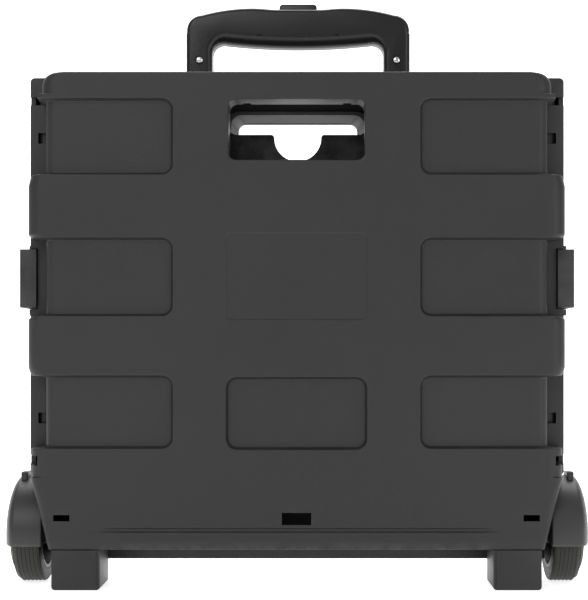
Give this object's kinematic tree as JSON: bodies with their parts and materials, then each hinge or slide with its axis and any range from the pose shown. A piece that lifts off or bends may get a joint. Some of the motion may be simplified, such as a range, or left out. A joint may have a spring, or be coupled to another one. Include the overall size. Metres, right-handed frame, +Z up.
{
  "type": "folding rolling crate",
  "caption": "Folding rolling crate on wheels with a telescopic pull handle, folded flat: ribbed shells, hinged side panels, side latches, fenders and feet.",
  "frame": {"origin": "on the ground under the middle of the folded crate", "axes": "+X across the crate to the viewer's right, -Y out of the front face, +Z up along the handle"},
  "size_m": [0.471, 0.1, 0.475],
  "materials": {
    "crate_plastic": "fine-grained semi-matte dark grey polypropylene",
    "panel_plastic": "matte dark grey polypropylene, smoother inside",
    "grip_plastic": "slightly glossy near-black moulded grip",
    "tyre_rubber": "matte ribbed wheel tread",
    "tube_metal": "brushed satin tube",
    "steel": "bright zinc-plated steel"
  },
  "bodies": {
    "back": {"back_shell": "crate_plastic", "base_panel": "panel_plastic", "base_hinge_pin": "steel", "axle_beam": "crate_plastic", "axle": "steel", "lower_clamp": "crate_plastic", "upper_clamp": "crate_plastic", "clamp_screw_1": "steel", "clamp_screw_2": "steel", "clamp_screw_3": "steel", "clamp_screw_4": "steel", "fender_left": "crate_plastic", "fender_right": "crate_plastic", "axle_nut_left": "crate_plastic", "axle_nut_right": "crate_plastic", "outer_tube_left": "tube_metal", "outer_tube_right": "tube_metal", "tube_collar_left": "grip_plastic", "tube_collar_right": "grip_plastic", "tube_plug_left": "crate_plastic", "tube_plug_right": "crate_plastic", "rear_hinge_pin_left": "steel", "rear_hinge_pin_right": "steel", "latch_pin_left": "steel", "latch_pin_right": "steel"},
    "rear_side_left": {"rear_side_panel_left": "panel_plastic", "mid_hinge_pin_left": "steel"},
    "rear_side_right": {"rear_side_panel_right": "panel_plastic", "mid_hinge_pin_right": "steel"},
    "front_side_left": {"front_side_panel_left": "panel_plastic"},
    "front_side_right": {"front_side_panel_right": "panel_plastic"},
    "front": {"front_shell": "crate_plastic", "foot_left": "crate_plastic", "foot_right": "crate_plastic", "front_hinge_pin_left": "steel", "front_hinge_pin_right": "steel"},
    "handle_mid": {"mid_tube_left": "tube_metal", "mid_tube_right": "tube_metal", "mid_collar_left": "grip_plastic", "mid_collar_right": "grip_plastic"},
    "handle_top": {"grip_front": "grip_plastic", "grip_rear": "grip_plastic", "inner_tube_left": "tube_metal", "inner_tube_right": "tube_metal", "grip_screw_left": "steel", "grip_screw_right": "steel"},
    "release": {"release_button": "grip_plastic", "release_bar": "panel_plastic", "release_rod_left": "steel", "release_rod_right": "steel", "button_spring": "steel"},
    "latch_left": {"latch_left": "crate_plastic"},
    "latch_right": {"latch_right": "crate_plastic"},
    "wheel_left": {"tyre_left": "tyre_rubber", "wheel_hub_left": "crate_plastic"},
    "wheel_right": {"tyre_right": "tyre_rubber", "wheel_hub_right": "crate_plastic"}
  },
  "joints": [
    {"name": "fold_rear_left", "type": "hinge", "parent": "back", "child": "rear_side_left", "pos_m": [-0.2035, -0.0075, 0.23], "axis": [0, 0, -1], "range_deg": [0, 90]},
    {"name": "fold_mid_left", "type": "hinge", "parent": "rear_side_left", "child": "front_side_left", "pos_m": [-0.0655, -0.012, 0.23], "axis": [0, 0, -1], "range_deg": [-180, 0]},
    {"name": "fold_front_left", "type": "hinge", "parent": "front_side_left", "child": "front", "pos_m": [-0.2035, -0.0165, 0.23], "axis": [0, 0, -1], "range_deg": [0, 90]},
    {"name": "fold_rear_right", "type": "hinge", "parent": "back", "child": "rear_side_right", "pos_m": [0.2035, -0.0075, 0.23], "axis": [0, 0, -1], "range_deg": [-90, 0]},
    {"name": "fold_mid_right", "type": "hinge", "parent": "rear_side_right", "child": "front_side_right", "pos_m": [0.0655, -0.012, 0.23], "axis": [0, 0, -1], "range_deg": [0, 180]},
    {"name": "handle_lower_slide", "type": "slide", "parent": "back", "child": "handle_mid", "axis": [0, 0, 1], "range_m": [0, 0.27]},
    {"name": "handle_upper_slide", "type": "slide", "parent": "handle_mid", "child": "handle_top", "axis": [0, 0, 1], "range_m": [0, 0.27]},
    {"name": "button_press", "type": "slide", "parent": "handle_top", "child": "release", "axis": [0, 0, -1], "range_m": [0, 0.004], "stiffness_N_per_m": 500, "springref_m": -0.002, "deforming": ["button_spring"]},
    {"name": "latch_left_swing", "type": "hinge", "parent": "back", "child": "latch_left", "pos_m": [-0.217, 0.008, 0.23], "axis": [0, 0, -1], "range_deg": [0, 110]},
    {"name": "latch_right_swing", "type": "hinge", "parent": "back", "child": "latch_right", "pos_m": [0.217, 0.008, 0.23], "axis": [0, 0, 1], "range_deg": [0, 110]},
    {"name": "wheel_left_spin", "type": "hinge", "parent": "back", "child": "wheel_left", "pos_m": [-0.2042, 0.004, 0.04], "axis": [1, 0, 0], "continuous": true},
    {"name": "wheel_right_spin", "type": "hinge", "parent": "back", "child": "wheel_right", "pos_m": [0.2042, 0.004, 0.04], "axis": [1, 0, 0], "continuous": true}
  ],
  "couplings": [
    {"joint": "fold_mid_left", "follows": "fold_rear_left", "ratio": -2},
    {"joint": "fold_front_left", "follows": "fold_rear_left", "ratio": 1},
    {"joint": "fold_rear_right", "follows": "fold_rear_left", "ratio": -1},
    {"joint": "fold_mid_right", "follows": "fold_rear_left", "ratio": 2}
  ]
}
